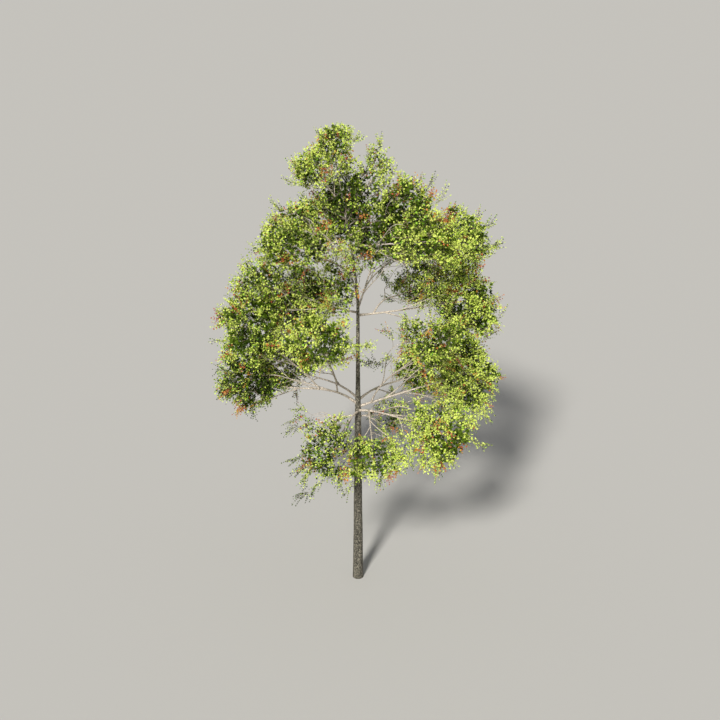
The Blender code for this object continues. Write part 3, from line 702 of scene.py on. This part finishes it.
def barkMaterial(name, colours, stretch, fleck, youngBarkAndPaintedLight=1.0):
    # colours from dark to pale, and aloft is how many times lighter the top is: partly younger bark,
    # partly painted light against the crown's shade
    material, nodes, links, shader = newMaterial(name, colours[1], 0.9)
    where = nodes.new("ShaderNodeTexCoord").outputs["Object"]
    mapping = nodes.new("ShaderNodeMapping")
    mapping.inputs["Scale"].default_value = (1, 1, stretch)  # plates longer than wide
    links.new(where, mapping.inputs["Vector"])
    plates = noiseNode(nodes, links, mapping.outputs["Vector"], *barkFinish["plates"])
    tone = rampNode(nodes, links, plates, tuple(zip(barkFinish["stops"], colours)))
    spots = noiseNode(nodes, links, where, fleck, *barkFinish["fleckNoise"])
    flecks = rampNode(nodes, links, spots, barkFinish["flecks"])
    # the bark lightens with height, partly as younger bark and partly as painted light against the
    # crown's shade
    height = nodes.new("ShaderNodeSeparateXYZ")
    links.new(where, height.inputs["Vector"])
    paler = rangeNode(nodes, links, height.outputs["Z"], 1.0, youngBarkAndPaintedLight,
                      barkFinish["youngBarkAndPaintedLightFrom"], barkFinish["youngBarkAndPaintedLightTo"])
    lighten = nodes.new("ShaderNodeVectorMath")
    lighten.operation = "SCALE"
    flecked = mixNode(nodes, links, "MULTIPLY", barkFinish["fleckShare"], tone, flecks)
    links.new(flecked, lighten.inputs[0])
    links.new(paler, lighten.inputs["Scale"])
    links.new(lighten.outputs["Vector"], shader.inputs["Base Color"])
    rough = rangeNode(nodes, links, plates, *barkFinish["roughness"])
    links.new(rough, shader.inputs["Roughness"])
    bumpNode(nodes, links, plates, *barkFinish["bump"], shader)
    return material


leafFinish = {
    "grain": (160, 3),  # scale and detail of the noise
    "sheenSpread": 0.12, "specular": 0.2, "bump": (0.4, 0.002),
}


def leafMaterial(name, colour, roughness):
    # one plain colour for each kind of spray, with a leathery grain and an uneven sheen
    material, nodes, links, shader = newMaterial(name, colour, roughness)
    where = nodes.new("ShaderNodeTexCoord").outputs["Object"]
    grain = noiseNode(nodes, links, where, *leafFinish["grain"])
    spread = leafFinish["sheenSpread"]
    rough = rangeNode(nodes, links, grain, roughness - spread, roughness + spread)
    links.new(rough, shader.inputs["Roughness"])
    shader.inputs["Specular IOR Level"].default_value = leafFinish["specular"]
    bumpNode(nodes, links, grain, *leafFinish["bump"], shader)
    return material


# the trunk's top is drawn up to twice as light: partly younger bark, partly painted light against the
# crown's shade
trunkBark = barkMaterial(
    "trunk bark", ((0.008, 0.007, 0.005), (0.085, 0.079, 0.061), (0.3, 0.28, 0.23)), 0.8, 38, 2.0)
boughBark = barkMaterial(
    "bough bark", ((0.36, 0.31, 0.26), (0.6, 0.53, 0.46), (0.8, 0.72, 0.64)), 0.6, 45)
twigBark = barkMaterial(
    "twig bark", ((0.2, 0.15, 0.1), (0.36, 0.28, 0.2), (0.52, 0.43, 0.33)), 1.0, 45)

leafKinds = {  # base colour and roughness of each kind of leaf: deep to lime are one leaf green painted from deep shade up to full sun, moss and fresh the same for a cooler green, amber to red the autumn tints
    "deep": ((0.022, 0.042, 0.002), 0.6),
    "shade": ((0.085, 0.145, 0.006), 0.6),
    "green": ((0.24, 0.345, 0.014), 0.6),
    "sunlit": ((0.49, 0.64, 0.065), 0.6),
    "sunlitLime": ((0.7, 0.82, 0.17), 0.6),
    "amber": ((0.56, 0.28, 0.06), 0.6),
    "orange": ((0.54, 0.18, 0.05), 0.6),
    "red": ((0.42, 0.1, 0.045), 0.6),
    "moss": ((0.13, 0.28, 0.02), 0.6),  # the painted mid and sunlit tones of the cooler sprays
    "sunlitCool": ((0.32, 0.58, 0.05), 0.6),
}
leafMaterials = [leafMaterial("leaf " + name, *kind) for name, kind in leafKinds.items()]
sortOf = {name: index for index, name in enumerate(leafKinds)}
print("materials made")


# the trunk, with its bark's relief

bark = {  # metres of relief at the foot, and scales across and up the trunk
    "ridge": 0.0036, "ridgeScale": (4.5, 1.2),
    "lump": 0.006, "lumpScale": (1.2, 0.9),
    "grit": 0.002, "gritScale": (30, 14),
}


def barkNoise(spoke, height, scale):
    return noise.noise(Vector((spoke[0] * scale[0], spoke[1] * scale[0], height * scale[1])))


def trunkPiece():
    count = round(trunk["top"] / trunk["ringSpacing"])
    points, radii = trunkLimb(count)
    ring = rings(points[None], radii[None], trunk["sides"])[0]
    spokes = unit(ring - points[:, None])
    for i in range(count):
        height = points[i][2]
        girth = radii[i] / trunk["radius"]
        for k in range(trunk["sides"]):
            spoke = spokes[i, k]
            ridge = 1 - 2 * abs(barkNoise(spoke, height, bark["ridgeScale"]))
            grit = barkNoise(spoke, height, bark["gritScale"])
            lump = barkNoise(spoke, height, bark["lumpScale"])
            rise = ridge * bark["ridge"] + grit * bark["grit"] + lump * bark["lump"]
            ring[i, k] += spoke * (rise * girth)
    ring[0, :, 2] = 0
    corners, sizes = tubeFaces(1, count, trunk["sides"], False)
    return addMesh("trunk_bark", ring.reshape(-1, 3), corners, sizes, [trunkBark])


trunkMesh = trunkPiece()
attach(trunkMesh, "root")
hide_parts("trunk")
print("trunk made:", len(trunkMesh.data.polygons), "faces")


# the boughs, each running on into its stem

boughBumps = {  # scales along x, y and z, and heights as shares of the radius
    "lump": (9, 9, 9), "lumpRise": 0.13, "grit": (45, 45, 30), "gritRise": 0.09,
    "branchLump": (14, 14, 14), "branchRise": 0.2,
    "smoothings": 3, "leastRings": 8, "leastBranchRings": 4,
}


def bumpAt(place, scale):
    return noise.noise(Vector([float(at) * times for at, times in zip(place, scale)]))


def boughTube(name):
    stem, stemRadii = stems[name]
    if name in limbs:
        points = np.vstack([limbs[name][0], stem[1:]])
        radii = np.concatenate([limbs[name][1], stemRadii[1:]])
    else:
        points, radii = stem, stemRadii
    length = stepLengths(points).sum()
    count = max(boughBumps["leastRings"], round(length / bough["ringSpacing"]))
    points, radii = along((points, radii), np.linspace(0, 1, count))
    smooth = points.copy()  # with the plan's corners taken off
    for _ in range(boughBumps["smoothings"]):
        smooth[1:-1] = (smooth[:-2] + 2 * smooth[1:-1] + smooth[2:]) / 4
    ring = rings(smooth[None], radii[None], bough["sides"])[0]
    spokes = unit(ring - smooth[:, None])
    for i in range(count):
        for k in range(bough["sides"]):
            lump = bumpAt(ring[i, k], boughBumps["lump"]) * boughBumps["lumpRise"]
            grit = bumpAt(ring[i, k], boughBumps["grit"]) * boughBumps["gritRise"]
            ring[i, k] += spokes[i, k] * radii[i] * (lump + grit)
    corners, sizes = tubeFaces(1, count, bough["sides"], False)
    return ring.reshape(-1, 3), corners, sizes


def branchTube(limb):
    length = stepLengths(limb[0]).sum()
    count = max(boughBumps["leastBranchRings"], round(length / sideBranch["ringSpacing"]))
    points, radii = along(limb, np.linspace(0, 1, count))
    ring = rings(points[None], radii[None], sideBranch["sides"])[0]
    for i in range(count):
        for k in range(sideBranch["sides"]):
            lump = bumpAt(ring[i, k], boughBumps["branchLump"]) * boughBumps["branchRise"]
            ring[i, k] += (ring[i, k] - points[i]) * lump
    corners, sizes = tubeFaces(1, count, sideBranch["sides"], False)
    return ring.reshape(-1, 3), corners, sizes


boughTubes = [boughTube(name) for name in crown]
boughTubes += [branchTube(limb) for grown in sideBranches.values() for limb in grown]
boughMesh = addMesh("boughs_bark", *joined(boughTubes), [boughBark])
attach(boughMesh, "root")
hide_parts(*["bough_" + name for name in crown if name in limbs])
print("boughs made:", len(boughMesh.data.polygons), "faces")


# leaves

leaf = {
    "width": 1.1, "petiole": 0.3,  # shares of the blade's length
    "within": (0.29, 0.08),  # metres inside the skin, between shaded, inner and outer shoots
    "length": (0.112, 0.076, 0.051),  # of a blade: those that see less light are larger
    "spacing": (0.108, 0.07, 0.05),  # between pairs of leaves along a shoot
    "from": 0.15, "over": 0.8, "leafy": 0.85,  # shares of a shoot's length
    "tipSize": 0.7,  # of the blades at a shoot's end
    "sizeSpread": 0.2,
    "lean": 48, "tipLean": 20,  # degrees from the shoot
    "stray": 0.2, "droop": 0.15,
    "tilt": 50,  # degrees of chance about the leaf's own line
    "faceOut": 0.6,  # how far a blade faces outwards rather than up
}

leafTone = {  # what sets a leaf's painted tone, from 0 in deep painted shade to 1 or so in full painted sun
    # painted sunlight by mass, and painted light higher up in the mass
    "base": 0.65, "sunny": 0.5, "usualSun": 0.6, "high": 0.08,
    "brightAt": 0.05, "perMetre": 0.9,  # metres inside the skin where they are lightest, with painted shade per metre away from there
    "tip": 0.2, "tipFrom": 0.2,  # young leaves at a shoot's end
    "chance": (0.07, 0.11, 0.46),  # by twig, by shoot and by leaf, scattering painted sun and shade
    "shaded": 0.2,  # painted shade that those deep inside lose
    "steps": (0.16, 0.34, 0.52, 0.7),  # the painted tones deep, shade, green, bright and lime, from deep shade to full sun
    "coolShare": 0.35,  # of the sprays, a cooler green
    "autumnChance": 0.02, "patchChance": 0.75,  # that a spray has turned, alone and in a patch
    "patchFrom": 0.46, "patchFine": 0.95, "patchWaves": 5,  # how rare and how small patches are
    "turnedShare": 0.9,  # of the leaves in a spray that has turned
}

# a blade with x along the midrib from the shoot, y across and z up
lobedBlade = (np.array([
    (0.0, 0.0, 0.0), (0.1, 0.38, -0.03), (0.62, 0.52, -0.07), (1.0, 0.0, -0.08),
    (0.62, -0.52, -0.07), (0.1, -0.38, -0.03), (0.42, 0.14, 0.03), (0.42, -0.14, 0.03),
]), np.array([(0, 3, 6), (0, 6, 2), (0, 6, 1), (0, 7, 3), (0, 4, 7), (0, 5, 7)]))
shadeBlade = (np.array([
    (0.0, 0.0, 0.0), (0.5, 0.48, -0.05), (0.55, 0.14, 0.03),
    (1.0, 0.0, -0.08), (0.55, -0.14, 0.03), (0.5, -0.48, -0.05),
]), np.array([(0, 2, 1), (0, 3, 2), (0, 4, 3), (0, 5, 4)]))


def leafyShoots(name):
    # the base, line, normal and size of every leaf in a mass, with the number of its spray
    space = spaces[name]
    curves = shoots[name][0]
    lengths = np.linalg.norm(curves[:, -1] - curves[:, 0], axis=1)
    sort = np.digitize(metresInside(curves[:, 3]), leaf["within"])
    spacing = np.array(leaf["spacing"])[sort]
    pairs = np.maximum(2, np.round(lengths * leaf["leafy"] / spacing)).astype(int)
    index = np.repeat(np.arange(len(curves)), pairs)
    order = np.concatenate([np.arange(count) for count in pairs])
    outer = order / (pairs[index] - 1)
    spot = (leaf["from"] + leaf["over"] * outer) * lastSpan
    low = spot.astype(int)
    first, second = curves[index, low], curves[index, low + 1]
    bases = first + (second - first) * (spot - low)[:, None]
    ahead = unit(second - first)
    side = unit(np.cross(ahead, [0, 0, 1]) + 1e-6)
    up = np.cross(side, ahead)
    lean = np.radians(leaf["lean"] + (leaf["tipLean"] - leaf["lean"]) * outer)[:, None]
    turn = (dice.uniform(0, math.pi, len(curves))[index] + order * math.pi / 2)[:, None]
    off = side * np.cos(turn) + up * np.sin(turn)
    lines = [ahead * np.cos(lean) + off * way * np.sin(lean) for way in (1, -1)]
    ends = unit(curves[:, -1] - curves[:, -2])
    bases = np.concatenate([bases, bases, curves[:, -1]])
    lines = np.concatenate([*lines, ends])
    spray = np.concatenate([index, index, np.arange(len(curves))])
    outer = np.concatenate([outer, outer, np.ones(len(curves))])
    sort = sort[spray]
    count = len(bases)
    stray = dice.normal(0, leaf["stray"], (count, 3))
    lines = unit(lines + stray - np.array([0, 0, leaf["droop"]]))
    outward = unit(bases - space["middle"])
    face = np.array([0, 0, 1.0]) + outward * leaf["faceOut"]
    face = unit(face - lines * (face * lines).sum(1, keepdims=True))
    across = np.cross(face, lines)
    turn = np.radians(dice.normal(0, leaf["tilt"], (count, 1)))
    normal = face * np.cos(turn) + across * np.sin(turn)
    smaller = np.where(sort > 0, 1 + (leaf["tipSize"] - 1) * outer, 1)
    size = np.array(leaf["length"])[sort] * smaller
    size = size * (1 + leaf["sizeSpread"] * dice.uniform(-1, 1, count))
    return {"base": bases, "line": lines, "normal": normal, "size": size, "spray": spray,
            "outer": outer, "sort": sort, "inside": metresInside(bases)}


def dealColours(name, leaves):
    # a colour for every leaf, dealt out by spray: painted sunlight by mass and higher up, painted shade
    # deeper inside the skin, and young leaves at the ends are the lightest
    space = spaces[name]
    curves, parent = shoots[name]
    spray = leaves["spray"]
    high = (leaves["base"][:, 2] - space["middle"][2]) / space["radii"][2]
    # painted sunlight by mass, and painted light higher up in the mass
    score = leafTone["base"] + leafTone["sunny"] * (crown[name][5] - leafTone["usualSun"])
    score = score + leafTone["high"] * high
    # painted shade: darker the further a leaf sits from just inside the skin
    score = score - leafTone["perMetre"] * np.abs(leaves["inside"] - leafTone["brightAt"])
    score = score + leafTone["tip"] * (leaves["outer"] - leafTone["tipFrom"])
    # chance, which scatters painted sun and shade from twig to twig, shoot to shoot and leaf to leaf
    byTwig, byShoot, byLeaf = leafTone["chance"]
    score = score + dice.normal(0, byTwig, len(twigs[name]))[parent][spray]
    score = score + dice.normal(0, byShoot, len(curves))[spray]
    score = score + dice.normal(0, byLeaf, len(spray))
    # painted shade: leaves deep inside are darker and go no lighter than the shade tone
    shaded = leaves["sort"] == 0
    score = np.where(shaded, score - leafTone["shaded"], score)
    kinds = np.digitize(score, leafTone["steps"])
    kinds = np.where(shaded, np.minimum(kinds, sortOf["shade"]), kinds)
    cool = (dice.random(len(curves)) < leafTone["coolShare"])[spray]
    cool = cool & ((kinds == sortOf["green"]) | (kinds == sortOf["sunlit"]))
    kinds = np.where(cool, kinds + sortOf["moss"] - sortOf["green"], kinds)
    waves = leafTone["patchWaves"]
    places = curves[:, -1] @ lobeWays[::-1][:waves].T * leafTone["patchFine"]
    patch = np.sin(places + lobePhases[:waves]).mean(1)
    inPatch = patch > leafTone["patchFrom"]
    chance = np.where(inPatch, leafTone["patchChance"], leafTone["autumnChance"])
    turned = dice.random(len(curves)) < chance
    autumn = dice.integers(sortOf["amber"], sortOf["red"] + 1, len(curves))
    autumn = np.where(turned, autumn, 0)[spray]
    turned = dice.random(len(spray)) < leafTone["turnedShare"]
    return np.where((autumn > 0) & ~shaded & turned, autumn, kinds)


def bladeArrays(leaves, kept, blade):
    plan, faces = blade
    lines = leaves["line"][kept]
    normals = leaves["normal"][kept]
    across = np.cross(normals, lines)
    reach = plan[:, 0] + leaf["petiole"]
    turned = (reach[None, :, None] * lines[:, None]
              + plan[None, :, 1:2] * leaf["width"] * across[:, None]
              + plan[None, :, 2:3] * normals[:, None])
    places = leaves["base"][kept][:, None] + turned * leaves["size"][kept][:, None, None]
    offsets = np.arange(len(places))[:, None, None] * len(plan)
    corners = (faces[None] + offsets).ravel()
    return places.reshape(-1, 3), corners, np.full(len(places) * len(faces), 3)


def massOfLeaves(name):
    leaves = leafyShoots(name)
    kinds = dealColours(name, leaves)
    outer = leaves["sort"] == 2
    parts = []
    faceKinds = []
    for kept, blade in ((outer, lobedBlade), (~outer, shadeBlade)):
        parts.append(bladeArrays(leaves, kept, blade))
        faceKinds.append(np.repeat(kinds[kept], len(blade[1])))
    return joined(parts), np.concatenate(faceKinds), len(kinds)


def addLeaves(number, batch):
    places, corners, sizes = joined([rows[0] for rows in batch.values()])
    kinds = np.concatenate([rows[1] for rows in batch.values()])
    piece = addMesh(f"leaves_{number}", places, corners, sizes, leafMaterials, kinds, smooth=False)
    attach(piece, "root")
    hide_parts(*["foliage_" + name for name in batch])
    return piece


mostFaces = 195000  # in a piece
batch, batchFaces, number, leafCount, leafFaces = {}, 0, 1, 0, 0
for name in crown:
    mesh, kinds, count = massOfLeaves(name)
    if batchFaces + len(kinds) > mostFaces:
        addLeaves(number, batch)
        batch, batchFaces, number = {}, 0, number + 1
    batch[name] = (mesh, kinds)
    batchFaces += len(kinds)
    leafFaces += len(kinds)
    leafCount += count
addLeaves(number, batch)
print("leaves made:", leafCount, "in", number, "pieces,", leafFaces, "triangles")


# twigs as joined meshes

def twigPart(level, stations, sides):
    rows = [grown for name in crown for grown in twigs[name] if grown[3] == level]
    curves = np.array([row[0] for row in rows])
    roots = np.array([row[1] for row in rows])
    tips = np.array([row[2] for row in rows])
    return twigTubes(curves, roots, tips, stations, sides)


def shootParts():
    curves = np.concatenate([grown[0] for grown in shoots.values()])
    inside = metresInside(curves[:, 3]) > leaf["within"][1]
    for rows, stations in ((curves[inside], 1), (curves[~inside], 2)):
        roots = np.full(len(rows), shoot["radius"])
        tips = np.full(len(rows), shoot["tip"])
        yield twigTubes(rows, roots, tips, stations, 3)


twigParts = [twigPart(0, 5, 5), twigPart(1, 4, 4), twigPart(2, 4, 4)]
twigMesh = addMesh("twigs", *joined(twigParts), [twigBark])
shootMesh = addMesh("shoots", *joined(shootParts()), [twigBark])
for piece in (twigMesh, shootMesh):
    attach(piece, "root")
print("twigs made:", len(twigMesh.data.polygons), "faces, shoots", len(shootMesh.data.polygons))


# floor, light and camera

stage = {"radius": 6500.0, "sides": 96, "colour": (0.54, 0.535, 0.525), "roughness": 0.95}

light = {
    "sun": {"strength": 4.2, "spread": 9, "from": (-0.27, -0.85, 0.62), "colour": (1.0, 0.97, 0.9)},
    "sky": {"low": (0.66, 0.645, 0.61), "high": (0.24, 0.245, 0.25), "clearAt": 0.45},
}


def stageFloor():
    # a round floor that runs out to the skyline
    turns = np.arange(stage["sides"]) * 2 * math.pi / stage["sides"]
    places = np.stack([np.cos(turns), np.sin(turns), turns * 0], axis=1) * stage["radius"]
    material, *_, shader = newMaterial("floor", stage["colour"], stage["roughness"])
    shader.inputs["Specular IOR Level"].default_value = 0.0
    return addMesh("floor", places, np.arange(stage["sides"]), [stage["sides"]], [material])


stageFloor()

sun = bpy.data.objects.new("sun", bpy.data.lights.new("sun", "SUN"))
sun.data.energy = light["sun"]["strength"]
sun.data.angle = math.radians(light["sun"]["spread"])
sun.data.color = light["sun"]["colour"]
sun.rotation_euler = Vector(light["sun"]["from"]).to_track_quat("Z", "Y").to_euler()
bpy.context.scene.collection.objects.link(sun)

world = bpy.data.worlds.new("sky")
world.use_nodes = True
nodes, links = world.node_tree.nodes, world.node_tree.links
parts = nodes.new("ShaderNodeSeparateXYZ")
links.new(nodes.new("ShaderNodeTexCoord").outputs["Generated"], parts.inputs["Vector"])
stops = ((0.0, light["sky"]["low"]), (light["sky"]["clearAt"], light["sky"]["high"]))
links.new(rampNode(nodes, links, parts.outputs["Z"], stops), nodes["Background"].inputs["Color"])
bpy.context.scene.world = world
bpy.context.scene.view_settings.view_transform = "Standard"

lens = {"place": (0.06, -27.26, 17.16), "down": 20, "length": 50, "sensor": 36, "farthest": 7000}
camera = bpy.data.objects.new("camera", bpy.data.cameras.new("camera"))
camera.location = lens["place"]
camera.rotation_euler = (math.radians(90 - lens["down"]), 0, 0)
camera.data.lens = lens["length"]
camera.data.sensor_width = lens["sensor"]
camera.data.clip_end = lens["farthest"]
bpy.context.scene.collection.objects.link(camera)
bpy.context.scene.camera = camera
print("stage, lights and camera set")
